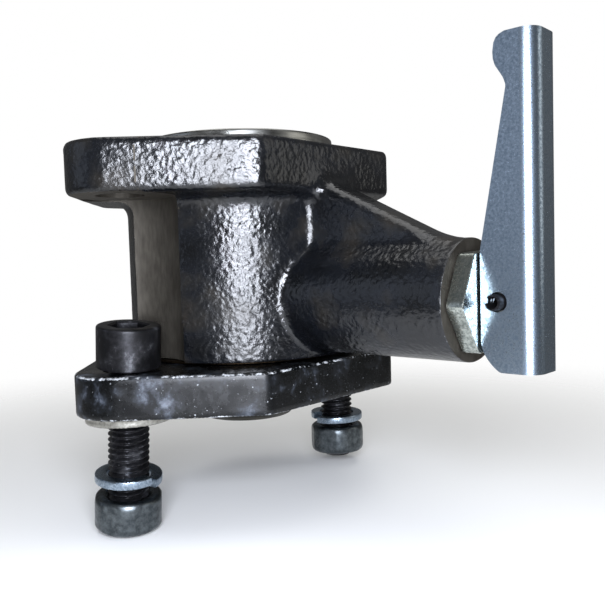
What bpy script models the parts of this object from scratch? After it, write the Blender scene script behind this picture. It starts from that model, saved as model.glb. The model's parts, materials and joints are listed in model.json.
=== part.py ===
"""Lockable swivel head for a bench vise: an upper and a lower flange, and a cam-lever plunger.

Frame: origin on the swivel axis, in the plane of the lower flange's underside. +Z up, +X along
the plunger boss towards the lever, the two bench screws on the Y axis. Lengths in metres.
"""
import math

import bmesh
import bpy
from mathutils import Matrix, Vector

MM = 0.001
GAP = 0.3 * MM            # clearance between pieces that touch
PAST = 5.0 * MM           # how far a cutter runs past the face it opens
ROOT = 5.0 * MM           # how deep a joined-on solid is sunk in the one that carries it

# flanges: an elongated hexagon with a round lobe at each screw
SCREW_SPACING = 93.6 * MM
FLANGE_HALF_WIDTH = 39.3 * MM
FLANGE_SIDE_HALF = 28.4 * MM     # half length of the straight long sides
LOBE_RADIUS = 14.7 * MM
LOWER_FLANGE_THICKNESS = 12.0 * MM
UPPER_FLANGE_THICKNESS = 14.6 * MM
SCREW_HOLE_RADIUS = 6.85 * MM
PAD_RADIUS = 12.4 * MM           # machined pads round the lower flange's screw holes
PAD_HEIGHT = 2.4 * MM
CAST_EDGE = 0.8 * MM             # rounding of the lower flange's edges

# housing
HOUSING_CLEARANCE = 1.2 * MM     # from the lower flange to the body, filled by the thrust washer
BODY_RADIUS = 36.5 * MM
BODY_HEIGHT = 48.1 * MM          # up to the upper flange's underside
THRUST_WASHER_MARGIN = 4.0 * MM  # from the washer's rim in from the body's
HOUSING_BORE_RADIUS = 27.0 * MM
POCKET_RADIUS = 16.0 * MM        # back-spotfaced clearance round each upper screw hole
SPOTFACE_DEPTH = 0.4 * MM        # into the upper flange's underside
BOSS_RADIUS = 16.0 * MM
BOSS_AXIS_HEIGHT = 17.3 * MM    # above the body's underside
BOSS_END_X = 85.0 * MM
RIB_HALF_WIDTH = 8.0 * MM
RIB_TOP_INSET = 1.0 * MM         # from the upper flange's edge in to where the rib starts
RIB_TOP_SUNK = 4.1 * MM         # above the upper flange's underside
RIB_END_X = 80.0 * MM
RIB_END_DROP = 1.0 * MM          # from the top of the boss down to the rib's end

# hub and bearings
HUB_RADIUS = 23.6 * MM
CENTRE_DRILL_RADIUS = 3.2 * MM   # lathe centres in both ends
CENTRE_DRILL_DEPTH = 4.5 * MM
HUB_SHOULDER = 7.2 * MM          # from the hub's rim in to its spigot's
SPIGOT_LENGTH = 8.4 * MM         # below the lower flange
SPIGOT_CHAMFER = 2.0 * MM
GROOVE_DEPTH = 4.0 * MM
UPPER_BUSH_LENGTH = 13.0 * MM
HUB_TOP_DROP = 1.0 * MM          # from the top ring's face down to the hub's
TOP_RING_RADIUS = 30.6 * MM
TOP_RING_BORE_RADIUS = 20.5 * MM
TOP_RING_HEIGHT = 4.6 * MM       # above the upper flange
TOP_RING_TAIL = 3.0 * MM         # sunk in the upper flange
TOP_RING_EDGE = 0.6 * MM
CIRCLIP_THICKNESS = 1.5 * MM
CIRCLIP_DEPTH = 1.5 * MM
CIRCLIP_SPLIT_HALF = 4.0 * MM
HUB_SCREW_RADIUS = 2.5 * MM
HUB_SCREW_HEAD_RADIUS = 4.9 * MM
HUB_SCREW_LENGTH = 20.0 * MM
HUB_SCREW_SUNK = 0.4 * MM        # head below the flange's underside
HUB_SCREW_COUNT = 3
HUB_SCREW_FIRST = math.radians(60)

# bench screws M12 x 45 with their washers and nuts
SCREW_RADIUS = 5.9 * MM
SCREW_LENGTH = 45.0 * MM
SCREW_HEAD_RADIUS = 9.1 * MM
SCREW_HEAD_HEIGHT = 12.0 * MM
SCREW_EDGE = 1.0 * MM            # chamfers of its head and its end
SOCKET_RADIUS = 5.75 * MM        # across corners / 2
SOCKET_DEPTH = 6.0 * MM
NUT_ACROSS_FLATS = 19.0 * MM
NUT_HEIGHT = 10.0 * MM
NUT_BORE_RADIUS = SCREW_RADIUS + GAP
NUT_FACE = 0.475                 # radius of its round end faces, as a share of the flats
NUT_SLOPE = math.tan(math.radians(30))
SPRING_WASHER_RADIUS = 9.7 * MM
SPRING_WASHER_BORE_RADIUS = 6.3 * MM
SPRING_WASHER_THICKNESS = 2.6 * MM
SPRING_WASHER_RISE = 1.3 * MM    # how far its split ends spring apart
SPRING_WASHER_SPLIT = math.radians(12)
LEFT_SCREW_LEAN = (math.radians(1.4), math.radians(6.2))   # about X and about Y, as it hangs
# each screw's name, side, lean, angle of its washer's split, angle of its nut's corner, how far the
# nut has been screwed on past flush with the screw's end, and how far above it the washer is caught
BENCH_SCREWS = (("left", -1, LEFT_SCREW_LEAN, math.radians(12), math.radians(-38), -3.0 * MM, 2.8 * MM),
                ("right", 1, (0, 0), math.radians(254), math.radians(-40), 1.6 * MM, 1.0 * MM))

# plunger, plug and spring
PLUG_ACROSS_FLATS = 25.0 * MM
PLUG_HEAD = 5.0 * MM
PLUG_TURN = math.radians(3.4)
PLUG_THREAD_RADIUS = 10.0 * MM
PLUG_THREAD_LENGTH = 17.0 * MM
THREAD_RELIEF = 1.0 * MM         # past the plug's end
ROD_RADIUS = 4.0 * MM
TIP_RADIUS = 6.0 * MM
COLLAR_RADIUS = 8.6 * MM
COLLAR_LENGTH = 4.0 * MM
COLLAR_SEAT_X = 40.0 * MM
SPRING_RADIUS = 6.6 * MM         # to the wire's centre
SPRING_WIRE_RADIUS = 0.7 * MM
SPRING_COILS = 5.0
PLUNGER_STROKE = 15.0 * MM
PLUNGER_EDGE = 0.8 * MM
ROD_PAST_PIN = 1.6 * MM          # rod's end beyond the pin

# lever and its pin
LEVER_WIDTH = 12.8 * MM
LEVER_SHEET = 2.0 * MM
PIN_TO_EDGE = 4.6 * MM
PIN_TO_WEB = 10.2 * MM
LEVER_BELOW_PIN = 17.1 * MM
LEVER_ABOVE_PIN = 63.4 * MM
LEVER_HOLE_RADIUS = 2.5 * MM
PIN_RADIUS = 2.0 * MM
PIN_LENGTH = 18.4 * MM
PIN_WALL = 0.7 * MM
PIN_SLOT = math.radians(50)
PIN_TURN = math.radians(160)     # where its slot faces
NOSE_RADIUS = 3.2 * MM           # round hooked end of the lever
LEVER_THROW = math.pi / 2
CAM_SHARE = 0.72                 # part of the throw in which the cam's flank bears on the plug

# heights and places worked out from the sizes above
BODY_BOTTOM_Z = LOWER_FLANGE_THICKNESS + HOUSING_CLEARANCE
UPPER_FLANGE_Z = BODY_BOTTOM_Z + BODY_HEIGHT
BOSS_AXIS_Z = BODY_BOTTOM_Z + BOSS_AXIS_HEIGHT
RIB_TOP_Z = UPPER_FLANGE_Z + RIB_TOP_SUNK
SPIGOT_RADIUS = HUB_RADIUS - HUB_SHOULDER
HUB_SCREW_CIRCLE = HUB_RADIUS - HUB_SHOULDER / 2
TOP_Z = UPPER_FLANGE_Z + UPPER_FLANGE_THICKNESS
SCREW_Y = SCREW_SPACING / 2
PLUG_END_X = BOSS_END_X + PLUG_HEAD
PIN_X = PLUG_END_X + GAP + PIN_TO_EDGE
COLLAR_BORE_RADIUS = COLLAR_RADIUS + GAP
TIP_BORE_RADIUS = TIP_RADIUS + GAP
GROOVE_RADIUS = HUB_RADIUS - GROOVE_DEPTH
GROOVE_HALF = TIP_RADIUS + 2 * GAP
HUB_TOP_Z = TOP_Z + TOP_RING_HEIGHT - HUB_TOP_DROP
CIRCLIP_Z = TOP_Z - TOP_RING_TAIL - CIRCLIP_THICKNESS - 4 * GAP
CAM_RATIO = PLUNGER_STROKE / LEVER_THROW
HOLE_MIDDLE_Z = (LOWER_FLANGE_THICKNESS - PAD_HEIGHT) / 2


def material(name, colour, roughness, metallic):
    """A Principled material; colour is linear RGB."""
    mat = bpy.data.materials.new(name)
    mat.use_nodes = True
    shader = mat.node_tree.nodes["Principled BSDF"]
    shader.inputs["Base Color"].default_value = (*colour, 1.0)
    shader.inputs["Roughness"].default_value = roughness
    shader.inputs["Metallic"].default_value = metallic
    return mat


def add_object(name, bm, mat=None):
    """Turn a bmesh into a scene object with outward normals and smooth round faces."""
    bmesh.ops.recalc_face_normals(bm, faces=bm.faces)
    mesh = bpy.data.meshes.new(name)
    bm.to_mesh(mesh)
    bm.free()
    if mat:
        mesh.materials.append(mat)
    mesh.shade_smooth()
    mesh.set_sharp_from_angle(angle=math.radians(30))
    obj = bpy.data.objects.new(name, mesh)
    bpy.context.collection.objects.link(obj)
    return obj


def skin(bm, rings, closed):
    """Join rings of vertices, in order, with faces; a ring of one vertex is a pole."""
    pairs = list(zip(rings, rings[1:]))
    if closed:
        pairs.append((rings[-1], rings[0]))
    for lower, upper in pairs:
        count = max(len(lower), len(upper))
        for i in range(count):
            j = (i + 1) % count
            corners = [ring[k % len(ring)] for ring, k in ((lower, i), (lower, j), (upper, j), (upper, i))]
            face = list(dict.fromkeys(corners))
            if len(face) > 2:
                bm.faces.new(face)


def turned(name, profile, mat=None, segments=48, closed=False):
    """A solid of revolution about Z from (radius, height) points."""
    bm = bmesh.new()
    rings = []
    for radius, height in profile:
        count = segments if radius > 0 else 1
        angles = [2 * math.pi * i / segments for i in range(count)]
        rings.append([bm.verts.new((radius * math.cos(a), radius * math.sin(a), height)) for a in angles])
    skin(bm, rings, closed)
    return add_object(name, bm, mat)


def rod(name, radius, start, end, segments=48):
    """A plain cylinder about Z, for cutters."""
    return turned(name, [(0, start), (radius, start), (radius, end), (0, end)], segments=segments)


def prism(name, outline, start, end, mat=None):
    """Extrude a closed outline of (x, y) points along Z."""
    bm = bmesh.new()
    rings = [[bm.verts.new((x, y, z)) for x, y in outline] for z in (start, end)]
    skin(bm, rings, False)
    for ring in rings:
        bm.faces.new(ring)
    return add_object(name, bm, mat)


def boolean(obj, cutter, operation="DIFFERENCE", solver="EXACT"):
    """Cut an object with another one, or join it on, by a live modifier."""
    mod = obj.modifiers.new(cutter.name, "BOOLEAN")
    mod.operation = operation
    mod.solver = solver
    mod.object = cutter
    cutter.hide_render = True
    cutter.display_type = "WIRE"


def bevel(obj, width, segments=2):
    """Round the sharp edges of an object."""
    mod = obj.modifiers.new("Bevel", "BEVEL")
    mod.width = width
    mod.segments = segments
    mod.limit_method = "ANGLE"
    mod.angle_limit = math.radians(35)


def along_x(obj, x=0.0, z=BOSS_AXIS_Z, turn=0.0):
    """Lay an object that was made about Z along +X on the boss axis."""
    obj.matrix_world = (Matrix.Translation((x, 0, z)) @ Matrix.Rotation(math.pi / 2, 4, "Y")
                        @ Matrix.Rotation(turn, 4, "Z"))


def hexagon(across_flats, turn=0.0):
    """Corner points of a hexagon with a corner at the given angle."""
    radius = across_flats / math.sqrt(3)
    angles = [turn + i * math.pi / 3 for i in range(6)]
    return [(radius * math.cos(a), radius * math.sin(a)) for a in angles]


def flange_outline(steps=10):
    """The flange plan: straight long sides, and tangent lines from their ends to each lobe."""
    dx, dy = FLANGE_HALF_WIDTH, FLANGE_SIDE_HALF - SCREW_Y
    # the tangent from the corner touches the lobe this far round from +X
    touch = math.atan2(dy, dx) + math.acos(LOBE_RADIUS / math.hypot(dx, dy))
    quarter = []
    for i in range(steps + 1):
        a = touch + (math.pi / 2 - touch) * i / steps
        quarter.append((LOBE_RADIUS * math.cos(a), SCREW_Y + LOBE_RADIUS * math.sin(a)))
    half = [(FLANGE_HALF_WIDTH, FLANGE_SIDE_HALF)] + quarter
    half += [(-x, y) for x, y in reversed(half[:-1])]
    return half + [(-x, -y) for x, y in half]


def parent(axis, *pieces):
    """Hang pieces on an empty that stands on their joint's axis, keeping where they are."""
    for piece in pieces:
        world = piece.matrix_basis.copy()
        piece.parent = axis
        piece.matrix_parent_inverse = axis.matrix_basis.inverted()
        piece.matrix_basis = world


def empty(name, location):
    obj = bpy.data.objects.new(name, None)
    obj.location = location
    bpy.context.collection.objects.link(obj)
    obj.matrix_basis = Matrix.Translation(location)
    return obj


def make_lower_flange(mat):
    """Cast plate with raised pads, the screw and spigot holes, and the hub screws' countersinks."""
    flange = prism("lower_flange", flange_outline(), 0, LOWER_FLANGE_THICKNESS, mat)
    bevel(flange, CAST_EDGE)
    holes = [(0, 0, SPIGOT_RADIUS + GAP)]
    for side in (-1, 1):
        pad = rod(f"lower_flange_pad_{side + 1}", PAD_RADIUS, -PAD_HEIGHT, LOWER_FLANGE_THICKNESS / 2)
        pad.location = (0, side * SCREW_Y, 0)
        boolean(flange, pad, "UNION", "MANIFOLD")
        holes.append((0, side * SCREW_Y, SCREW_HOLE_RADIUS))
    for i, (x, y, radius) in enumerate(holes):
        cutter = rod(f"lower_flange_hole_{i}", radius, -PAST, LOWER_FLANGE_THICKNESS + PAST)
        cutter.location = (x, y, 0)
        boolean(flange, cutter, "DIFFERENCE", "MANIFOLD")
    for i, place in enumerate(hub_screw_places()):
        cutter = turned(f"countersink_{i}", hub_screw_profile(GAP), segments=24)
        cutter.location = place
        boolean(flange, cutter, "DIFFERENCE", "MANIFOLD")
    return flange


def hub_screw_places():
    angles = [HUB_SCREW_FIRST + 2 * math.pi * i / HUB_SCREW_COUNT for i in range(HUB_SCREW_COUNT)]
    return [Vector((HUB_SCREW_CIRCLE * math.cos(a), HUB_SCREW_CIRCLE * math.sin(a), 0)) for a in angles]


def hub_screw_profile(clearance):
    """Half section of a countersunk screw, or with a clearance of its hole, head down."""
    head = HUB_SCREW_SUNK
    low = -PAST if clearance else head
    big, small = HUB_SCREW_HEAD_RADIUS + clearance, HUB_SCREW_RADIUS + clearance
    top = HUB_SCREW_LENGTH + clearance
    return [(0, low), (big, low), (big, head), (small, head + big - small), (small, top), (0, top)]


def make_hub(mat):
    """Turned steel hub: spigot through the flange, journal, plunger groove, circlip groove, centres."""
    bottom, seat = -SPIGOT_LENGTH, LOWER_FLANGE_THICKNESS + GAP
    clip_z = CIRCLIP_Z - GAP
    clip_top = clip_z + CIRCLIP_THICKNESS + 2 * GAP
    clip_radius = HUB_RADIUS - CIRCLIP_DEPTH
    ring_clear = TOP_RING_BORE_RADIUS - GAP
    shoulder_z = TOP_Z - TOP_RING_TAIL - GAP
    profile = [(0, bottom + CENTRE_DRILL_DEPTH), (CENTRE_DRILL_RADIUS, bottom),
               (SPIGOT_RADIUS - SPIGOT_CHAMFER, bottom),
               (SPIGOT_RADIUS, bottom + SPIGOT_CHAMFER), (SPIGOT_RADIUS, seat), (HUB_RADIUS, seat),
               (HUB_RADIUS, BOSS_AXIS_Z - GROOVE_HALF), (GROOVE_RADIUS, BOSS_AXIS_Z - GROOVE_HALF),
               (GROOVE_RADIUS, BOSS_AXIS_Z + GROOVE_HALF), (HUB_RADIUS, BOSS_AXIS_Z + GROOVE_HALF),
               (HUB_RADIUS, clip_z), (clip_radius, clip_z), (clip_radius, clip_top),
               (HUB_RADIUS, clip_top), (HUB_RADIUS, shoulder_z), (ring_clear, shoulder_z),
               (ring_clear, HUB_TOP_Z), (CENTRE_DRILL_RADIUS, HUB_TOP_Z),
               (0, HUB_TOP_Z - CENTRE_DRILL_DEPTH)]
    hub = turned("hub", profile, mat, 64)
    for i, place in enumerate(hub_screw_places()):
        cutter = turned(f"hub_tapping_{i}", hub_screw_profile(GAP), segments=24)
        cutter.location = place
        boolean(hub, cutter)
    return hub


def make_hub_screws(mat):
    """Countersunk screws that hold the hub down to the flange."""
    screws = []
    for i, place in enumerate(hub_screw_places()):
        screw = turned(f"hub_screw_{i + 1}", hub_screw_profile(0), mat, 24)
        screw.location = place
        screws.append(screw)
    return screws


def make_washer(name, outer, inner, start, thickness, mat, segments=48):
    end = start + thickness
    profile = [(inner, start), (outer, start), (outer, end), (inner, end)]
    return turned(name, profile, mat, segments, closed=True)


def make_circlip(mat):
    """Open retaining ring in the hub's groove, under the top ring."""
    start = CIRCLIP_Z
    inner = HUB_RADIUS - CIRCLIP_DEPTH + GAP
    outer = HOUSING_BORE_RADIUS - 2 * GAP
    clip = make_washer("retaining_ring", outer, inner, start, CIRCLIP_THICKNESS, mat)
    split = CIRCLIP_SPLIT_HALF
    corners = [(-split, 0), (split, 0), (split, -outer - PAST), (-split, -outer - PAST)]
    notch = prism("retaining_ring_split", corners, start - PAST, start + CIRCLIP_THICKNESS + PAST)
    boolean(clip, notch)
    return clip


def make_top_ring(mat):
    """Machined ring, sunk in the upper flange, that stands proud of it and centres the vise."""
    low, high = TOP_Z - TOP_RING_TAIL, TOP_Z + TOP_RING_HEIGHT
    profile = [(TOP_RING_BORE_RADIUS, low), (TOP_RING_RADIUS, low), (TOP_RING_RADIUS, high - TOP_RING_EDGE),
               (TOP_RING_RADIUS - TOP_RING_EDGE, high), (TOP_RING_BORE_RADIUS, high)]
    return turned("top_ring", profile, mat, 64, closed=True)


def make_housing(mat):
    """Casting: upper flange, round body, plunger boss and gusset, with its machined bores."""
    housing = prism("housing", flange_outline(), UPPER_FLANGE_Z, TOP_Z, mat)
    body = rod("housing_body", BODY_RADIUS, BODY_BOTTOM_Z, UPPER_FLANGE_Z + ROOT, 64)
    root_x = HOUSING_BORE_RADIUS - ROOT
    boss = rod("housing_boss", BOSS_RADIUS, root_x, BOSS_END_X)
    along_x(boss)
    rib_end_z = BOSS_AXIS_Z + BOSS_RADIUS - RIB_END_DROP
    outline = [(root_x, BOSS_AXIS_Z), (RIB_END_X, BOSS_AXIS_Z), (RIB_END_X, rib_end_z),
               (FLANGE_HALF_WIDTH - RIB_TOP_INSET, RIB_TOP_Z), (root_x, RIB_TOP_Z)]
    rib = prism("housing_rib", outline, -RIB_HALF_WIDTH, RIB_HALF_WIDTH)
    rib.matrix_world = Matrix.Rotation(math.pi / 2, 4, "X")
    for piece in (body, boss, rib):
        boolean(housing, piece, "UNION", "MANIFOLD")
    cutters = [rod("housing_bore", HOUSING_BORE_RADIUS, 0, TOP_Z + PAST, 64),
               rod("housing_ring_seat", TOP_RING_RADIUS + GAP, TOP_Z - TOP_RING_TAIL - GAP, TOP_Z + PAST, 64)]
    for side in (-1, 1):
        pocket = rod(f"housing_pocket_{side + 1}", POCKET_RADIUS, 0, UPPER_FLANGE_Z + SPOTFACE_DEPTH)
        hole = rod(f"housing_hole_{side + 1}", SCREW_HOLE_RADIUS, UPPER_FLANGE_Z - PAST, TOP_Z + PAST, 32)
        for cutter in (pocket, hole):
            cutter.location = (0, side * SCREW_Y, 0)
            cutters.append(cutter)
    thread_start = BOSS_END_X - PLUG_THREAD_LENGTH - THREAD_RELIEF
    tip_bore = rod("housing_tip_bore", TIP_BORE_RADIUS, HUB_RADIUS, COLLAR_SEAT_X + THREAD_RELIEF, 32)
    collar_bore = rod("housing_collar_bore", COLLAR_BORE_RADIUS, COLLAR_SEAT_X, BOSS_END_X)
    thread_bore = rod("housing_thread_bore", PLUG_THREAD_RADIUS + GAP, thread_start, BOSS_END_X + PAST)
    for cutter in (tip_bore, collar_bore, thread_bore):
        along_x(cutter)
        cutters.append(cutter)
    for cutter in cutters:
        boolean(housing, cutter, "DIFFERENCE", "MANIFOLD")
    return housing


def make_plug(mat):
    """Hexagon-headed plug screwed into the boss; its bore guides the plunger rod."""
    head = prism("plug", hexagon(PLUG_ACROSS_FLATS, math.pi / 2), BOSS_END_X + GAP, PLUG_END_X, mat)
    shank = rod("plug_shank", PLUG_THREAD_RADIUS, BOSS_END_X - PLUG_THREAD_LENGTH, BOSS_END_X + PLUG_HEAD / 2)
    bore = rod("plug_bore", ROD_RADIUS + GAP, COLLAR_SEAT_X, PLUG_END_X + PAST, 32)
    boolean(head, shank, "UNION")
    boolean(head, bore)
    for piece in (head, shank, bore):
        along_x(piece, turn=PLUG_TURN)
    return head


def make_plunger(mat):
    """Plunger: tip in the hub's groove, collar for the spring, rod through the plug to the pin."""
    tip_x = GROOVE_RADIUS + GAP
    collar_x = COLLAR_SEAT_X + GAP
    collar_end = collar_x + COLLAR_LENGTH
    rod_end = PIN_X + PIN_RADIUS + ROD_PAST_PIN
    edge = PLUNGER_EDGE
    profile = [(0, tip_x), (TIP_RADIUS - edge, tip_x), (TIP_RADIUS, tip_x + edge), (TIP_RADIUS, collar_x),
               (COLLAR_RADIUS, collar_x), (COLLAR_RADIUS, collar_end), (ROD_RADIUS, collar_end),
               (ROD_RADIUS, rod_end - edge), (ROD_RADIUS - edge, rod_end), (0, rod_end)]
    plunger = turned("plunger", profile, mat, 40)
    along_x(plunger)
    hole = rod("plunger_pin_hole", PIN_RADIUS + GAP / 3, -2 * ROD_RADIUS, 2 * ROD_RADIUS, 24)
    hole.matrix_world = Matrix.Translation((PIN_X, 0, BOSS_AXIS_Z)) @ Matrix.Rotation(math.pi / 2, 4, "X")
    boolean(plunger, hole)
    return plunger


def make_plunger_spring(mat):
    """Round wire helix between the collar and the plug, with closed end turns."""
    start = COLLAR_SEAT_X + COLLAR_LENGTH + SPRING_WIRE_RADIUS + 2 * GAP
    end = BOSS_END_X - PLUG_THREAD_LENGTH - SPRING_WIRE_RADIUS - GAP
    curve = bpy.data.curves.new("plunger_spring", "CURVE")
    curve.dimensions = "3D"
    curve.bevel_depth = SPRING_WIRE_RADIUS
    curve.bevel_resolution = 1
    curve.use_fill_caps = True
    steps = 100
    spline = curve.splines.new("POLY")
    spline.points.add(steps)
    for i, point in enumerate(spline.points):
        t = i / steps
        a = 2 * math.pi * SPRING_COILS * t
        y, z = SPRING_RADIUS * math.cos(a), BOSS_AXIS_Z + SPRING_RADIUS * math.sin(a)
        point.co = (start + (end - start) * t, y, z, 1)
    curve.materials.append(mat)
    spring = bpy.data.objects.new("plunger_spring", curve)
    bpy.context.collection.objects.link(spring)
    return spring


def make_lever_pin(mat):
    """Slotted spring pin, made as a C-shaped tube."""
    steps = 20
    outline = []
    for radius, order in ((PIN_RADIUS, 1), (PIN_RADIUS - PIN_WALL, -1)):
        arc = [PIN_SLOT / 2 + (2 * math.pi - PIN_SLOT) * i / steps for i in range(steps + 1)]
        outline += [(radius * math.cos(a), radius * math.sin(a)) for a in arc[::order]]
    pin = prism("lever_pin", outline, -PIN_LENGTH / 2, PIN_LENGTH / 2, mat)
    pin.matrix_world = (Matrix.Translation((PIN_X, 0, BOSS_AXIS_Z)) @ Matrix.Rotation(math.pi / 2, 4, "X")
                        @ Matrix.Rotation(PIN_TURN, 4, "Z"))
    return pin


def arc_points(centre, radius, start, end, steps):
    """Points of an arc, angles in degrees."""
    angles = [math.radians(start + (end - start) * i / steps) for i in range(steps + 1)]
    return [(centre[0] + radius * math.cos(a), centre[1] + radius * math.sin(a)) for a in angles]


def lever_outline():
    """Side plate outline in (x, z) from the pin.

    The lower corner is the involute that lifts the plunger in proportion to the lever's angle,
    until it meets the flat bottom edge. Above, the edge runs in to a notch under the hooked nose.
    """
    cam = []
    steps = 14
    for i in range(steps + 1):
        angle = LEVER_THROW * CAM_SHARE * i / steps
        lift = PIN_TO_EDGE + CAM_RATIO * angle
        x = -lift * math.cos(angle) + CAM_RATIO * math.sin(angle)
        z = -lift * math.sin(angle) - CAM_RATIO * math.cos(angle)
        if z > -LEVER_BELOW_PIN:
            cam.append((x, z))
    cam.append((cam[-1][0] + 0.8 * MM, -LEVER_BELOW_PIN))
    top = LEVER_ABOVE_PIN
    nose = (2.9 * MM, top - NOSE_RADIUS)
    back = PIN_TO_WEB
    outline = [(back, -LEVER_BELOW_PIN), (back, top)]
    outline += arc_points(nose, NOSE_RADIUS, 90, 215, 10)
    outline += [(2.2 * MM, top - 9.4 * MM), (3.1 * MM, top - 11.4 * MM), (3.2 * MM, top - 13.4 * MM)]
    outline += [(-2.4 * MM, 17.6 * MM), (-PIN_TO_EDGE, 12.4 * MM)]
    return outline + cam


def make_lever(mat):
    """Pressed channel: two side plates and a web, open towards the boss."""
    lever = prism("lever", lever_outline(), -LEVER_WIDTH / 2, LEVER_WIDTH / 2, mat)
    upright = Matrix.Translation((PIN_X, 0, BOSS_AXIS_Z)) @ Matrix.Rotation(math.pi / 2, 4, "X")
    lever.matrix_world = upright
    inner = LEVER_WIDTH / 2 - LEVER_SHEET
    low, high = -LEVER_BELOW_PIN - PAST, LEVER_ABOVE_PIN + PAST
    near, far = -LEVER_BELOW_PIN - PAST, PIN_TO_WEB - LEVER_SHEET
    channel = prism("lever_channel", [(near, low), (far, low), (far, high), (near, high)], -inner, inner)
    channel.matrix_world = upright
    hole = rod("lever_pin_hole", LEVER_HOLE_RADIUS, -LEVER_WIDTH, LEVER_WIDTH, 32)
    hole.matrix_world = upright
    boolean(lever, channel)
    boolean(lever, hole)
    return lever


def make_screw(name, mat):
    """Socket-head screw about Z, its head's underside at z = 0 and its shank below."""
    edge = SCREW_EDGE
    profile = [(0, -SCREW_LENGTH), (SCREW_RADIUS - edge, -SCREW_LENGTH), (SCREW_RADIUS, -SCREW_LENGTH + edge),
               (SCREW_RADIUS, 0), (SCREW_HEAD_RADIUS, 0), (SCREW_HEAD_RADIUS, SCREW_HEAD_HEIGHT - edge),
               (SCREW_HEAD_RADIUS - edge, SCREW_HEAD_HEIGHT), (0, SCREW_HEAD_HEIGHT)]
    screw = turned(name, profile, mat, 40)
    corners = hexagon(SOCKET_RADIUS * math.sqrt(3))
    socket = prism(f"{name}_socket", corners, SCREW_HEAD_HEIGHT - SOCKET_DEPTH, SCREW_HEAD_HEIGHT + PAST)
    boolean(screw, socket)
    return screw, socket


def make_nut(name, start, mat, turn):
    """Hexagon nut about Z with chamfered corners."""
    nut = prism(name, hexagon(NUT_ACROSS_FLATS, turn), start, start + NUT_HEIGHT, mat)
    face = NUT_FACE * NUT_ACROSS_FLATS
    corner = NUT_ACROSS_FLATS / math.sqrt(3) + GAP / 3
    drop = (corner - face) * NUT_SLOPE
    end = start + NUT_HEIGHT
    barrel = turned(f"{name}_barrel", [(0, start), (face, start), (corner, start + drop), (corner, end - drop),
                                       (face, end), (0, end)], segments=36)
    boolean(nut, barrel, "INTERSECT")
    bore = rod(f"{name}_bore", NUT_BORE_RADIUS, start - PAST, end + PAST, 32)
    boolean(nut, bore)
    return nut, barrel, bore


def make_spring_washer(name, start, mat, split_angle):
    """Square-wire washer whose split ends spring apart along Z."""
    bm = bmesh.new()
    rings = []
    steps = 36
    sweep = 2 * math.pi - SPRING_WASHER_SPLIT
    for i in range(steps + 1):
        t = i / steps
        a = split_angle + SPRING_WASHER_SPLIT / 2 + sweep * t
        z = start + SPRING_WASHER_RISE * t
        inner, outer, height = SPRING_WASHER_BORE_RADIUS, SPRING_WASHER_RADIUS, SPRING_WASHER_THICKNESS
        corners = [(inner, 0), (outer, 0), (outer, height), (inner, height)]
        rings.append([bm.verts.new((r * math.cos(a), r * math.sin(a), z + h)) for r, h in corners])
    skin(bm, rings, False)
    bm.faces.new(rings[0])
    bm.faces.new(rings[-1])
    return add_object(name, bm, mat)


def hang(pieces, side, lean):
    """Place pieces made about Z round a screw, tilted about the middle of the flange's hole."""
    pivot = Vector((0, side * SCREW_Y, HOLE_MIDDLE_Z))
    tilt = Matrix.Rotation(lean[0], 4, "X") @ Matrix.Rotation(lean[1], 4, "Y")
    for piece in pieces:
        piece.matrix_world = Matrix.Translation(pivot) @ tilt


def make_bench_screws(black, bright, zinc):
    """The two screws with spring washer and nut, hanging as loosely fitted."""
    for label, side, lean, split, turn, advance, lift in BENCH_SCREWS:
        tilt = math.hypot(*lean)
        seat = LOWER_FLANGE_THICKNESS - HOLE_MIDDLE_Z + GAP + SCREW_HEAD_RADIUS * math.sin(tilt)
        nut_start = seat - SCREW_LENGTH + advance
        screw, socket = make_screw(f"{label}_screw", black)
        for piece in (screw, socket):
            piece.data.transform(Matrix.Translation((0, 0, seat)))
        nut, barrel, bore = make_nut(f"{label}_nut", nut_start, zinc, turn)
        washer_z = nut_start + NUT_HEIGHT + GAP + lift
        spring = make_spring_washer(f"{label}_spring_washer", washer_z, bright, split)
        hang((screw, socket, nut, barrel, bore, spring), side, lean)


def clear_scene():
    for obj in list(bpy.data.objects):
        bpy.data.objects.remove(obj, do_unlink=True)


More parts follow.
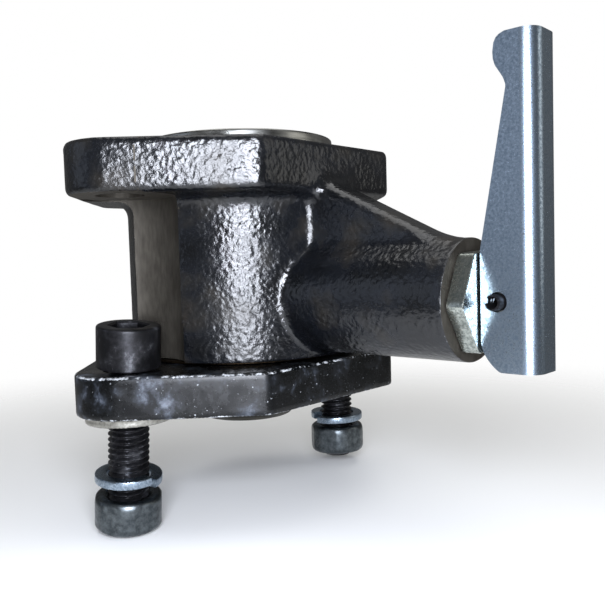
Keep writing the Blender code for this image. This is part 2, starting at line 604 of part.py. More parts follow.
def main():
    clear_scene()
    black_paint = material("black_paint", (0.012, 0.013, 0.016), 0.35, 0.0)
    machined = material("machined_steel", (0.30, 0.29, 0.27), 0.4, 1.0)
    black_oxide = material("black_oxide", (0.02, 0.02, 0.022), 0.45, 0.6)
    zinc = material("zinc_plate", (0.42, 0.44, 0.45), 0.35, 1.0)
    bright_zinc = material("bright_zinc", (0.62, 0.66, 0.70), 0.25, 1.0)
    bronze = material("bronze", (0.35, 0.20, 0.08), 0.4, 1.0)
    spring_steel = material("spring_steel", (0.25, 0.25, 0.26), 0.35, 1.0)

    make_lower_flange(black_paint)
    make_hub(machined)
    make_hub_screws(black_oxide)
    make_bench_screws(black_oxide, bright_zinc, zinc)
    thrust_start = LOWER_FLANGE_THICKNESS + GAP
    make_washer("thrust_washer", BODY_RADIUS - THRUST_WASHER_MARGIN, HUB_RADIUS + GAP, thrust_start,
                HOUSING_CLEARANCE - 2 * GAP, bronze, 64)
    make_circlip(spring_steel)

    swivel = empty("swivel_axis", (0, 0, 0))
    bushes = []
    bush_top = CIRCLIP_Z - 3 * GAP
    bush_low = BODY_BOTTOM_Z + GAP
    spans = {"lower_bush": (bush_low, BOSS_AXIS_Z - TIP_BORE_RADIUS - GAP - bush_low),
             "upper_bush": (bush_top - UPPER_BUSH_LENGTH, UPPER_BUSH_LENGTH)}
    for name, (start, length) in spans.items():
        bushes.append(make_washer(name, HOUSING_BORE_RADIUS - GAP, HUB_RADIUS + GAP, start, length, bronze, 64))
    parent(swivel, make_housing(black_paint), make_top_ring(machined), make_plug(zinc), *bushes)

    slide = empty("plunger_axis", (PIN_X, 0, BOSS_AXIS_Z))
    parent(slide, make_plunger(machined), make_lever_pin(black_oxide), make_plunger_spring(spring_steel))
    hinge = empty("lever_axis", (PIN_X, 0, BOSS_AXIS_Z))
    parent(hinge, make_lever(bright_zinc))


main()
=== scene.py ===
"""Looks of the vise swivel head: cast skins, threads, sheet metal, finishes, light and camera.

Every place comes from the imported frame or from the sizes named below. Lengths in metres.
"""
import itertools
import json
import math

import bmesh
import bpy
import numpy as np
from mathutils import Matrix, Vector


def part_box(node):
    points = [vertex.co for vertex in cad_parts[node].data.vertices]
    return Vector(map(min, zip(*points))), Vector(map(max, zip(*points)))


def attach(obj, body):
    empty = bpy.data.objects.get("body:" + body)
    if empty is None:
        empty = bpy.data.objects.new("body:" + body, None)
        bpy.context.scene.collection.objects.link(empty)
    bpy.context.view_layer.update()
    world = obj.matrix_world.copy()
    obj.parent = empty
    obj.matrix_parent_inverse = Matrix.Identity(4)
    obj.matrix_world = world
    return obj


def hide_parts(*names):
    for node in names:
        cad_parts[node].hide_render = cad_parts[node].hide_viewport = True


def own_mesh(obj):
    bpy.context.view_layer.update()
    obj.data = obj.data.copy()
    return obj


MM = 0.001
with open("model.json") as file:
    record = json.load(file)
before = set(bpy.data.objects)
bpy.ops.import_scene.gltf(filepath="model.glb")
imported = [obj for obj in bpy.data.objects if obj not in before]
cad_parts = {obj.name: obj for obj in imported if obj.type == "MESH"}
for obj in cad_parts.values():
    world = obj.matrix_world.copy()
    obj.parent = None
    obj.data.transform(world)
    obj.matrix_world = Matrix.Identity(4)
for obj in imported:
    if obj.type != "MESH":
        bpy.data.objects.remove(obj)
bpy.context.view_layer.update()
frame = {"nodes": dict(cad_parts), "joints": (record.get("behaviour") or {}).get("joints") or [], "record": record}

# sizes read from the frame
MOUNTS = {mount["name"]: mount for mount in frame["record"]["mounts"]}
JOINTS = {joint["name"]: joint for joint in frame["joints"]}
(FLANGE_LOW, FLANGE_HIGH), (HOUSING_LOW, HOUSING_HIGH), (RING_LOW, RING_HIGH) = (
    np.array(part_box(name)) for name in ("lower_flange", "housing", "top_ring"))
(HUB_LOW, HUB_HIGH), (PLUG_LOW, PLUG_HIGH), (PLUNGER_LOW, PLUNGER_HIGH) = (
    np.array(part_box(name)) for name in ("hub", "plug", "plunger"))
(LEVER_LOW, LEVER_HIGH), (PIN_LOW, PIN_HIGH), (SPRING_LOW, SPRING_HIGH) = (
    np.array(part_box(name)) for name in ("lever", "lever_pin", "plunger_spring"))
SCREW_Y = MOUNTS["right_bench_pad"]["pos_m"][1]
PIN_X, _, AXIS_Z = JOINTS["lever_cam"]["pos_m"]
HALF_WIDTH = FLANGE_HIGH[0]
LOBE = FLANGE_HIGH[1] - SCREW_Y
HUB_RADIUS = HUB_HIGH[0]

# sizes of its own: radii unless the name says otherwise
GAP = 0.3 * MM
MACHINING = 0.5 * MM            # metal left on the casting for the machined faces
PAST = 8.0 * MM                 # how far a cutter runs past the face it opens
SIDE_HALF = 28.4 * MM           # half length of the flanges' straight sides
BODY_RADIUS = 36.5 * MM
BORE = 27.0 * MM
UPPER_UNDERSIDE = HOUSING_LOW[2] + 48.1 * MM
SCREW_HOLE = 6.85 * MM
POCKET = 16.0 * MM
SPOTFACE = 0.4 * MM             # depth into the upper flange's underside
WIDE_POCKET = POCKET + 0.3 * MM
WIDE_POCKET_TOP = 24.5 * MM     # the pocket is a little wider below this height
PAD = 12.4 * MM
BOSS = 16.0 * MM
RIB_HALF = 6.4 * MM             # half thickness, less than the model's 8 mm
RIB_TOP = (38.3 * MM, 65.4 * MM)    # x and z where the gusset's slope starts
RIB_SLOPE = (41.7, 19.9)            # its run and its fall
RIB_END = 80.0 * MM
SPIGOT = 16.4 * MM
HUB_SCREW_CIRCLE = 20.0 * MM
RING_BORE = 20.5 * MM
TIP = 6.0 * MM
TIP_HALF_GROOVE = 6.6 * MM
COLLAR = 8.6 * MM
COLLAR_START = 40.0 * MM        # x of its seat in the boss
COLLAR_LENGTH = 4.0 * MM
ROD = 4.0 * MM
PLUG_FLATS = 25.0 * MM
PLUG_SHANK = 10.0 * MM
PLUG_TURN = math.radians(3.4) - math.pi / 2
CENTRE_DRILL, CENTRE_DEPTH = 3.2 * MM, 4.5 * MM
PITCH = 1.75 * MM
SCREW, SCREW_LENGTH = 5.9 * MM, 45.0 * MM
SCREW_HEAD, HEAD_HEIGHT, SOCKET = 9.1 * MM, 12.0 * MM, 5.75 * MM
NUT_FLATS, NUT_HEIGHT, NUT_BORE = 19.0 * MM, 10.0 * MM, 6.2 * MM
WASHER_BORE, WASHER, WASHER_HEIGHT, WASHER_RISE = 6.3 * MM, 9.7 * MM, 2.6 * MM, 1.3 * MM
WASHER_SPLIT = math.radians(12)
LEAN = (math.radians(1.4), math.radians(6.2))
# name, side, lean, angles of the washer's split and the nut's corner, nut's advance and washer's lift in mm
BENCH_SCREWS = (("left", -1, LEAN, 12, -38, -3.0, 2.8), ("right", 1, (0, 0), 254, -40, 1.6, 1.0))
STROKE, THROW = 15.0 * MM, math.pi / 2
PIN_TO_EDGE = 4.6 * MM
CAMERA_PLACE = np.array([177.0, -167.3, 42.4]) * MM
MIDDLE = np.array([20.0, 0.0, 35.0]) * MM       # what the lights face


# ---------------------------------------------------------------- surfaces

def turned(profile, columns=120):
    """Points [row, column, xyz] of a profile of (radius, height) carried round Z."""
    angles = np.linspace(0, 2 * np.pi, columns, endpoint=False)
    radius = np.array([np.broadcast_to(r, columns) for r, _ in profile])
    height = np.array([np.full(columns, h) for _, h in profile])
    return np.stack([radius * np.cos(angles), radius * np.sin(angles), height], -1)


def softened(corners, width, steps=4):
    """A profile with each inner corner replaced by a quadratic curve that starts width before it."""
    corners = [np.array(corner, float) for corner in corners]
    points = [corners[0]]
    for before, here, after in zip(corners, corners[1:], corners[2:]):
        back, ahead = before - here, after - here
        reach = min(width, np.linalg.norm(back) / 2.2, np.linalg.norm(ahead) / 2.2)
        start = here + back / np.linalg.norm(back) * reach
        end = here + ahead / np.linalg.norm(ahead) * reach
        for t in np.linspace(0, 1, steps):
            points.append(start * (1 - t) ** 2 + here * 2 * t * (1 - t) + end * t ** 2)
    return points + [corners[-1]]


def hexagon(flats, columns=120, worn=0.25 * MM):
    """Radius of a hexagon at each column: half the flats over the cosine, a little less at its corners."""
    angles = np.linspace(0, 2 * np.pi, columns, endpoint=False)
    radius = flats / 2 / np.cos(angles % (np.pi / 3) - np.pi / 6)
    return np.minimum(radius, flats / math.sqrt(3) - worn)


def along_x(points, turn=0.0):
    """Lays points made about Z on the boss axis, Z to +X, after a turn about their own axis."""
    c, s = math.cos(turn), math.sin(turn)
    x, y, z = points[..., 0], points[..., 1], points[..., 2]
    x, y = c * x - s * y, s * x + c * y
    return np.stack([z, y, AXIS_Z - x], -1)


def leaning(points, side, lean):
    """Tilts points made about Z, about X and Y, and hangs them in the middle of a flange hole."""
    turn = Matrix.Rotation(lean[0], 3, "X") @ Matrix.Rotation(lean[1], 3, "Y")
    middle = (FLANGE_LOW[2] + FLANGE_HIGH[2]) / 2
    return points @ np.array(turn).T + np.array([0, side * SCREW_Y, middle])


def mesh_object(name, points, faces):
    """A mesh object from points and a list of faces."""
    mesh = bpy.data.meshes.new(name)
    mesh.from_pydata(points.reshape(-1, 3).tolist(), [], faces)
    mesh.validate()
    obj = bpy.data.objects.new(name, mesh)
    bpy.context.collection.objects.link(obj)
    return obj


def surface(name, points, ring=False):
    """A closed mesh on a grid of points whose columns run round; with ring, its rows do too."""
    rows, columns = points.shape[:2]
    index = np.arange(rows * columns).reshape(rows, columns)
    upper = np.roll(index, -1, axis=0) if ring else index[1:]
    lower = index if ring else index[:-1]
    quads = np.stack([lower, np.roll(lower, -1, 1), np.roll(upper, -1, 1), upper], -1).reshape(-1, 4)
    obj = mesh_object(name, points, quads.tolist())
    clean(obj)
    return obj


def clean(obj, distance=0.002 * MM):
    """Merges the seams and poles of a closed mesh and points its faces outwards."""
    bm = bmesh.new()
    bm.from_mesh(obj.data)
    bmesh.ops.remove_doubles(bm, verts=bm.verts, dist=distance)
    bmesh.ops.dissolve_degenerate(bm, edges=bm.edges, dist=distance / 4)
    bmesh.ops.recalc_face_normals(bm, faces=bm.faces)
    bm.to_mesh(obj.data)
    bm.free()


def sheet_metal(name, middle, normal, thickness):
    """A strip of sheet: its middle surface's points [row, step, xyz], pushed both ways by the normal."""
    half = normal * thickness[..., None] / 2
    outer, inner = middle + half, middle - half
    loops = np.concatenate([outer, inner[:, ::-1]], 1)
    rows, columns = loops.shape[:2]
    index = np.arange(rows * columns).reshape(rows, columns)
    around = np.roll(index, -1, 1)
    sides = np.stack([index[:-1], around[:-1], around[1:], index[1:]], -1).reshape(-1, 4)
    caps = []
    steps = columns // 2
    for row in (index[0], index[-1]):
        mirrored = row[::-1]
        caps.append(np.stack([row[:steps - 1], row[1:steps], mirrored[1:steps], mirrored[:steps - 1]], -1))
    obj = mesh_object(name, loops, np.concatenate([sides, *caps]).tolist())
    clean(obj)
    return obj


def cut(obj, *cutters):
    """Cuts closed tools out of a closed mesh and applies the cuts."""
    for tool in cutters:
        step = obj.modifiers.new(tool.name, "BOOLEAN")
        step.operation = "DIFFERENCE"
        step.solver = "MANIFOLD"
        step.object = tool
    bpy.context.view_layer.update()
    result = obj.evaluated_get(bpy.context.evaluated_depsgraph_get())
    mesh = bpy.data.meshes.new_from_object(result)
    obj.modifiers.clear()
    obj.data = mesh
    for tool in cutters:
        bpy.data.objects.remove(tool)


def drill(name, radius, start, end, x=0.0, y=0.0):
    """A round tool about Z."""
    tool = surface(name, turned([(0, start), (radius, start), (radius, end), (0, end)], 144))
    tool.data.transform(Matrix.Translation((x, y, 0)))
    return tool


def cross_drill(name, radius, start, end):
    """A round tool along the boss axis."""
    return surface(name, along_x(turned([(0, start), (radius, start), (radius, end), (0, end)], 144)))


def pin_drill(name, radius, half):
    """A round tool along the lever pin's axis, as long on both sides of the middle."""
    points = turned([(0, -half), (radius, -half), (radius, half), (0, half)], 96)
    return surface(name, np.stack([points[..., 0] + PIN_X, -points[..., 2], points[..., 1] + AXIS_Z], -1))


def finish_piece(obj, body, slot, materials, *nodes, sharp=38):
    """Shades a piece, gives it its materials and puts it in the place of CAD nodes. Its slot is not used."""
    obj.data.materials.clear()
    for item in materials:
        obj.data.materials.append(item)
    obj.data.shade_smooth()
    obj.data.set_sharp_from_angle(angle=math.radians(sharp))
    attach(obj, body)
    if nodes:
        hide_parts(*nodes)
    return obj


# ---------------------------------------------------------------- castings

def smooth_max(a, b, width):
    """The larger of two distances, with their corner rounded over a width."""
    near = np.maximum(width - np.abs(a - b), 0) / width
    return np.maximum(a, b) + near * near * width / 4


def smooth_min(a, b, width):
    """The smaller of two distances, with their corner filled over a width."""
    return -smooth_max(-a, -b, width)


def pebbles(points, size, seed):
    """Sum of round bumps, one at a random place and height in every cell of a grid of that size.

    Place and height come from the bits of a whole-number hash of the cell, so they are the same each run.
    """
    place = points / size
    cell = np.floor(place).astype(np.int64)
    total = np.zeros(len(points))
    for step in itertools.product((-1, 0, 1), repeat=3):
        near = cell + np.array(step)
        mix = (near[:, 0] * 73856093) ^ (near[:, 1] * 19349663) ^ (near[:, 2] * 83492791)
        mix = mix ^ (seed * 2654435761)
        mix = ((mix ^ (mix >> 13)) * 1274126177) & 0x7fffffff
        mix = ((mix ^ (mix >> 11)) * 668265263) & 0x7fffffff
        shift = np.stack([(mix >> bits) & 127 for bits in (3, 10, 17)], -1) / 127
        height = ((mix >> 24) & 127) / 127 - 0.3
        total += height * np.exp(-((place - near - shift) ** 2).sum(1) / 0.16)
    return total


def flange_plan(x, y):
    """Distance to the flange outline: a straight side, the tangent to the lobe, and the lobe's circle."""
    x, y = np.abs(x), np.abs(y)
    dx, dy = HALF_WIDTH, SIDE_HALF - SCREW_Y
    touch = math.atan2(dy, dx) + math.acos(LOBE / math.hypot(dx, dy))
    nx, ny = math.cos(touch), math.sin(touch)
    tangent = x * nx + (y - SCREW_Y) * ny - LOBE
    past_tangent = (y - SCREW_Y) * nx - x * ny > 0
    lobe = np.hypot(x, y - SCREW_Y) - LOBE
    return np.where(past_tangent, lobe, smooth_max(x - HALF_WIDTH, tangent, 1.4 * MM))


def housing_skin(p):
    """Distance to the rough casting: flange, body, boss and gusset run together with cast fillets."""
    x, y, z = p[..., 0], p[..., 1], p[..., 2]
    top = HOUSING_HIGH[2] + MACHINING
    slab = np.abs(z - (top + UPPER_UNDERSIDE) / 2) - (top - UPPER_UNDERSIDE) / 2
    flange = smooth_max(flange_plan(x, y), slab, 2.6 * MM)
    body = smooth_max(np.hypot(x, y) - BODY_RADIUS, HOUSING_LOW[2] - MACHINING - z, 1.0 * MM)
    body = np.maximum(body, z - UPPER_UNDERSIDE - 5 * MM)
    end = x - HOUSING_HIGH[0] - MACHINING
    boss = smooth_max(np.hypot(y, z - AXIS_Z) - BOSS, end, 0.8 * MM)
    boss = np.maximum(boss, -x)
    run, fall = RIB_SLOPE
    slope = ((x - RIB_TOP[0]) * fall + (z - RIB_TOP[1]) * run) / math.hypot(run, fall)
    rib = smooth_max(np.abs(y) - RIB_HALF, slope, 4.0 * MM)
    rib = np.maximum(rib, np.maximum(AXIS_Z - z, z - RIB_TOP[1]))
    rib = np.maximum(rib, np.maximum(-x, x - RIB_END))
    solid = smooth_min(smooth_min(body, boss, 2.2 * MM), rib, 3.0 * MM)
    return smooth_min(solid, flange, 5.0 * MM)


def flange_skin(p):
    """Distance to the lower flange: the outline's slab with barely rounded edges, and its pads."""
    x, y, z = p[..., 0], p[..., 1], p[..., 2]
    slab = np.abs(z - FLANGE_HIGH[2] / 2) - FLANGE_HIGH[2] / 2
    plate = smooth_max(flange_plan(x, y), slab, 1.0 * MM)
    pad = np.hypot(x, np.abs(y) - SCREW_Y) - PAD
    pad = smooth_max(pad, np.maximum(FLANGE_LOW[2] - z, z - FLANGE_HIGH[2] / 2), 0.4 * MM)
    return smooth_min(plate, pad, 0.8 * MM)


def slope_of(skin, p, step=0.1 * MM):
    """Gradient of a distance by central differences."""
    shifts = np.eye(3) * step
    return np.stack([skin(p + s) - skin(p - s) for s in shifts], -1) / (2 * step)


def bend_of(skin, p, step=0.5 * MM):
    """How sharply a skin bends outwards: its Laplacian, 1/radius over one edge."""
    shifts = np.eye(3) * step
    return (sum(skin(p + s) + skin(p - s) for s in shifts) - 6 * skin(p)) / step ** 2


def cast(name, skin, low, high, cell, relief):
    """A casting's mesh: one point in each grid cell that the skin crosses, drawn onto it along the slope.

    A few rounds of evening out and drawing back follow, then the relief pushes points along the normal.
    """
    axes = [np.arange(a, b + cell, cell) for a, b in zip(low, high)]
    grid = np.stack(np.meshgrid(*axes, indexing="ij"), -1)
    inside = skin(grid) < 0
    size = [length - 1 for length in inside.shape]
    corners = sum(inside[i:size[0] + i, j:size[1] + j, k:size[2] + k].astype(int)
                  for i, j, k in itertools.product((0, 1), repeat=3))
    crossed = (corners > 0) & (corners < 8)
    number = np.full(crossed.shape, -1)
    number[crossed] = np.arange(crossed.sum())
    points = grid[:-1, :-1, :-1][crossed] + cell / 2
    quads = []
    for axis in range(3):
        u, v = (np.roll(np.array([1, 0, 0]), axis + turn) for turn in (1, 2))
        here = np.argwhere(np.diff(inside.astype(np.int8), axis=axis) != 0)
        around = np.stack([number[tuple((here - shift).T)] for shift in (0 * u, u, u + v, v)], -1)
        outward = inside[tuple(here.T)]
        quads.append(np.where(outward[:, None], around, around[:, ::-1]))
    quads = np.concatenate(quads)
    ends = np.concatenate([quads[:, [i, (i + 1) % 4]] for i in range(4)])
    ends = np.concatenate([ends, ends[:, ::-1]])
    count = np.bincount(ends[:, 0], minlength=len(points))[:, None]
    for turn in range(4):
        for _ in range(3):
            slope = slope_of(skin, points)
            steep = np.maximum((slope ** 2).sum(1), 0.05)[:, None]
            points = points - skin(points)[:, None] * slope / steep
        if turn < 3:
            total = np.stack([np.bincount(ends[:, 0], points[ends[:, 1], k], len(points))
                              for k in range(3)], -1)
            points = points * 0.4 + total / count * 0.6
    slope = slope_of(skin, points)
    normal = slope / np.linalg.norm(slope, axis=1)[:, None]
    bend = bend_of(skin, points)
    obj = mesh_object(name, points + normal * relief(points)[:, None], quads.tolist())
    edge = obj.data.attributes.new("edge", "FLOAT", "POINT")
    edge.data.foreach_set("value", np.clip(bend * 0.9 * MM, 0, 1).astype(np.float32))
    return obj


def housing_relief(p):
    """Orange-peel of the sand: coarse on the flange, finer on the body, faint on the boss."""
    coarse = pebbles(p, 2.3 * MM, 3) * 0.17 * MM
    fine = pebbles(p, 1.7 * MM, 5) * 0.08 * MM
    wave = pebbles(p, 9.0 * MM, 7) * 0.14 * MM
    on_flange = np.clip((p[:, 2] - UPPER_UNDERSIDE) / (2 * MM), 0, 1)
    past_body = np.clip((np.hypot(p[:, 0], p[:, 1]) - BODY_RADIUS - 1 * MM) / (6 * MM), 0, 1)
    on_boss = past_body * (1 - on_flange)
    front = np.clip((HALF_WIDTH - 1 * MM - np.abs(p[:, 0])) / (8 * MM), 0.3, 1)
    return coarse * on_flange * front + fine * (1 - on_flange) * (1 - 0.75 * on_boss) + wave


def flange_relief(p):
    """The lower flange's smoother skin, with a few dents knocked in its edges; its flat faces stay flat."""
    rough = pebbles(p, 1.6 * MM, 11) * 0.03 * MM + pebbles(p, 8.0 * MM, 13) * 0.08 * MM
    plan = flange_plan(p[:, 0], p[:, 1])
    rim = np.clip(1 + plan / (1.2 * MM), 0, 1)
    flat_side = np.abs(plan) < 0.05 * MM
    edge = rim * (np.abs(p[:, 2] - FLANGE_HIGH[2] / 2) > FLANGE_HIGH[2] / 2 - 1.5 * MM)
    dents = np.minimum(0.42 - pebbles(p, 3.4 * MM, 17), 0) * 0.9 * MM
    skin = np.minimum(rough * (0.3 + 0.7 * flat_side), 0.05 * MM)
    return np.where(p[:, 2] < -0.1 * MM, 0, skin + edge * dents)


def faces_where(obj, test, number):
    """Gives material number to the faces whose centres pass a test."""
    mesh = obj.data
    centres = np.empty(len(mesh.polygons) * 3)
    mesh.polygons.foreach_get("center", centres)
    chosen = np.empty(len(mesh.polygons), np.int32)
    mesh.polygons.foreach_get("material_index", chosen)
    chosen[test(centres.reshape(-1, 3))] = number
    mesh.polygons.foreach_set("material_index", chosen)
    mesh.update()


# ---------------------------------------------------------------- finishes

def linear(code):
    """An sRGB hex colour as linear RGBA."""
    parts = [int(code[i:i + 2], 16) / 255 for i in (1, 3, 5)]
    return [part / 12.92 if part <= 0.04045 else ((part + 0.055) / 1.055) ** 2.4 for part in parts] + [1.0]


def put(tree, kind, sockets=None, stops=None, **settings):
    """Adds a node: settings by name, sockets by name or number as a value, a hex colour or a link."""
    item = tree.nodes.new("ShaderNode" + kind)
    for name, value in settings.items():
        setattr(item, name, value)
    for name, value in (sockets or {}).items():
        if isinstance(value, bpy.types.NodeSocket):
            tree.links.new(value, item.inputs[name])
        else:
            item.inputs[name].default_value = linear(value) if isinstance(value, str) else value
    if stops:
        ramp = item.color_ramp.elements
        while len(ramp) < len(stops):
            ramp.new(0.5)
        for element, (place, colour) in zip(ramp, stops):
            element.position = place
            element.color = linear(colour)
    return item


def finish_named(name):
    """An empty material with its tree, its Principled shader and the object coordinates."""
    item = bpy.data.materials.new(name)
    item.use_nodes = True
    tree = item.node_tree
    shader = tree.nodes["Principled BSDF"]
    place = put(tree, "TexCoord").outputs["Object"]
    return item, tree, shader, place


def wire(tree, shader, sockets):
    """Links or sets sockets of a shader."""
    for name, value in sockets.items():
        if isinstance(value, bpy.types.NodeSocket):
            tree.links.new(value, shader.inputs[name])
        else:
            shader.inputs[name].default_value = linear(value) if isinstance(value, str) else value


def per(size):
    """Texture scale, in repeats a metre, of a pattern of that real size."""
    return 1.0 / size


def gloss_cast_paint():
    """Gloss black machinery enamel, dipped over sand-cast iron: wet highlights on an orange-peel skin."""
    item, tree, shader, place = finish_named("gloss_cast_paint")
    cloud = put(tree, "TexNoise", {"Vector": place, "Scale": per(14 * MM), "Detail": 5.0})
    tone = put(tree, "ValToRGB", {0: cloud.outputs[0]},
               stops=[(0.38, "#07080a"), (0.52, "#0a0c10"), (0.62, "#151413"), (0.76, "#201b15")])
    dome = put(tree, "TexVoronoi", {"Vector": place, "Scale": per(1.5 * MM), "Smoothness": 1.0},
               feature="SMOOTH_F1")
    grain = put(tree, "TexNoise", {"Vector": place, "Scale": per(1.2 * MM), "Detail": 2.0})
    height = put(tree, "Math", {0: grain.outputs[0], 1: dome.outputs[0]}, operation="SUBTRACT")
    bump = put(tree, "Bump", {"Strength": 0.7, "Distance": 0.26 * MM, "Height": height.outputs[0]})
    speck = put(tree, "TexNoise", {"Vector": place, "Scale": per(0.8 * MM), "Detail": 2.0})
    worn = put(tree, "Attribute", attribute_name="edge")
    chipped = put(tree, "Math", {0: worn.outputs["Fac"], 1: speck.outputs[0]}, operation="MULTIPLY")
    chip = put(tree, "MapRange", {0: chipped.outputs[0], 1: 0.50, 2: 0.56})
    colour = put(tree, "Mix", {0: chip.outputs[0], 6: tone.outputs[0], 7: "#8f9194"}, data_type="RGBA")
    rough = put(tree, "MapRange", {0: cloud.outputs[0], 1: 0.35, 2: 0.7, 3: 0.2, 4: 0.34})
    wire(tree, shader, {"Base Color": colour.outputs[2], "Roughness": rough.outputs[0],
                        "Metallic": chip.outputs[0], "Normal": bump.outputs[0], "IOR": 1.52})
    return item


def scuffed_paint():
    """Satin black enamel, dusty and rubbed: blue-grey smears, pale specks, bare edges."""
    item, tree, shader, place = finish_named("scuffed_paint")
    smear = put(tree, "TexNoise", {"Vector": place, "Scale": per(9 * MM), "Detail": 8.0, "Roughness": 0.68})
    tone = put(tree, "ValToRGB", {0: smear.outputs[0]},
               stops=[(0.48, "#040506"), (0.55, "#0c0e11"), (0.61, "#2b2f36"), (0.72, "#5c616a")])
    dust = put(tree, "TexNoise", {"Vector": place, "Scale": per(0.7 * MM), "Detail": 2.0})
    dotted = put(tree, "MapRange", {0: dust.outputs[0], 1: 0.70, 2: 0.76})
    marked = put(tree, "Mix", {0: dotted.outputs[0], 6: tone.outputs[0], 7: "#8d9094"}, data_type="RGBA")
    worn = put(tree, "Attribute", attribute_name="edge")
    ragged = put(tree, "TexNoise", {"Vector": place, "Scale": per(3.0 * MM), "Detail": 8.0,
                                    "Roughness": 0.7})
    rubbed = put(tree, "Math", {0: worn.outputs["Fac"], 1: ragged.outputs[0]}, operation="MULTIPLY")
    chip = put(tree, "MapRange", {0: rubbed.outputs[0], 1: 0.44, 2: 0.56})
    colour = put(tree, "Mix", {0: chip.outputs[0], 6: marked.outputs[2], 7: "#c3c6c9"}, data_type="RGBA")
    bump = put(tree, "Bump", {"Strength": 0.35, "Distance": 0.08 * MM, "Height": ragged.outputs[0]})
    rough = put(tree, "MapRange", {0: smear.outputs[0], 1: 0.4, 2: 0.7, 3: 0.22, 4: 0.42})
    wire(tree, shader, {"Base Color": colour.outputs[2], "Roughness": rough.outputs[0],
                        "Normal": bump.outputs[0], "IOR": 1.45, "Specular IOR Level": 0.35})
    return item


def bare_iron(name, dark, light, roughness, streak, metallic=1.0):
    """Freshly cut metal with a film of oil: fine tool marks along the axis whose streak value is small."""
    item, tree, shader, place = finish_named(name)
    stretched = put(tree, "Mapping", {"Vector": place, "Scale": streak})
    marks = put(tree, "TexNoise", {"Vector": stretched.outputs[0], "Scale": per(0.9 * MM), "Detail": 3.0})
    stain = put(tree, "TexNoise", {"Vector": place, "Scale": per(9 * MM), "Detail": 4.0})
    mixed = put(tree, "Math", {0: marks.outputs[0], 1: stain.outputs[0]}, operation="ADD")
    halved = put(tree, "Math", {0: mixed.outputs[0], 1: 0.5}, operation="MULTIPLY")
    tone = put(tree, "ValToRGB", {0: halved.outputs[0]}, stops=[(0.36, dark), (0.64, light)])
    rough = put(tree, "MapRange", {0: stain.outputs[0], 1: 0.3, 2: 0.7,
                                   3: roughness - 0.08, 4: roughness + 0.1})
    bump = put(tree, "Bump", {"Strength": 0.25, "Distance": 0.05 * MM, "Height": marks.outputs[0]})
    wire(tree, shader, {"Base Color": tone.outputs[0], "Roughness": rough.outputs[0],
                        "Metallic": metallic, "Normal": bump.outputs[0]})
    return item


def black_oxide():
    """Hot black-oxide alloy steel: near black with a brown cast, rubbed grey where it has been handled."""
    item, tree, shader, place = finish_named("black_oxide")
    rub = put(tree, "TexNoise", {"Vector": place, "Scale": per(7 * MM), "Detail": 6.0, "Roughness": 0.68})
    tone = put(tree, "ValToRGB", {0: rub.outputs[0]},
               stops=[(0.44, "#1b1b1d"), (0.56, "#2e2e31"), (0.70, "#66676b")])
    upright = put(tree, "Mapping", {"Vector": place, "Scale": (1.0, 1.0, 0.1)})
    scratch = put(tree, "TexNoise", {"Vector": upright.outputs[0], "Scale": per(1.0 * MM), "Detail": 2.0})
    line = put(tree, "MapRange", {0: scratch.outputs[0], 1: 0.70, 2: 0.78})
    colour = put(tree, "Mix", {0: line.outputs[0], 6: tone.outputs[0], 7: "#7a7b80"}, data_type="RGBA")
    grain = put(tree, "TexNoise", {"Vector": place, "Scale": per(0.6 * MM), "Detail": 3.0})
    bump = put(tree, "Bump", {"Strength": 0.2, "Distance": 0.04 * MM, "Height": grain.outputs[0]})
    wire(tree, shader, {"Base Color": colour.outputs[2], "Roughness": 0.36, "Metallic": 0.75,
                        "Normal": bump.outputs[0]})
    return item


def zinc_plate(name, dark, light, roughness, spangle, contrast=0.12, cloud_size=1.8 * MM):
    """Clear-passivated electroplated zinc: mottled by crystal patches, cool in tone, finely specked."""
    item, tree, shader, place = finish_named(name)
    patch = put(tree, "TexVoronoi", {"Vector": place, "Scale": per(spangle)}, feature="F1")
    cloud = put(tree, "TexNoise", {"Vector": place, "Scale": per(cloud_size), "Detail": 7.0,
                                   "Roughness": 0.62})
    flake = put(tree, "RGBToBW", {0: patch.outputs["Color"]})
    flaked = put(tree, "MapRange", {0: flake.outputs[0], 1: 0.0, 2: 1.0, 3: -contrast, 4: contrast})
    mottle = put(tree, "Math", {0: cloud.outputs[0], 1: flaked.outputs[0]}, operation="ADD")
    tone = put(tree, "ValToRGB", {0: mottle.outputs[0]}, stops=[(0.36, dark), (0.66, light)])
    rough = put(tree, "MapRange", {0: mottle.outputs[0], 1: 0.3, 2: 0.7,
                                   3: roughness + 0.1, 4: roughness - 0.06})
    bump = put(tree, "Bump", {"Strength": 0.22, "Distance": 0.05 * MM, "Height": cloud.outputs[0]})
    wire(tree, shader, {"Base Color": tone.outputs[0], "Roughness": rough.outputs[0],
                        "Metallic": 1.0, "Normal": bump.outputs[0]})
    return item


GLOSS = gloss_cast_paint()
SATIN = scuffed_paint()
MILLED = bare_iron("milled_iron", "#37332d", "#4b4740", 0.55, (1.0, 1.0, 0.25), 0.7)
FACED = bare_iron("faced_steel", "#7c7a74", "#b4b2aa", 0.34, (1.0, 1.0, 1.0))
TURNED = bare_iron("turned_steel", "#62625f", "#adada9", 0.28, (0.08, 0.08, 1.0))
OILED_STEEL = bare_iron("oiled_steel", "#24231f", "#55524a", 0.4, (0.08, 0.08, 1.0), 0.9)
OXIDE = black_oxide()
DULL_ZINC = zinc_plate("dull_zinc", "#757b77", "#bcc1ba", 0.26, 0.8 * MM, 0.05, 0.9 * MM)
NUT_ZINC = zinc_plate("nut_zinc", "#42474a", "#676d70", 0.32, 0.6 * MM, 0.04)
BRIGHT_ZINC = zinc_plate("bright_zinc", "#6f7d8b", "#a3b1bf", 0.29, 0.5 * MM, 0.05, 0.7 * MM)
BRONZE = bare_iron("bearing_bronze", "#7d5a2b", "#b98d4f", 0.35, (0.1, 0.1, 1.0))
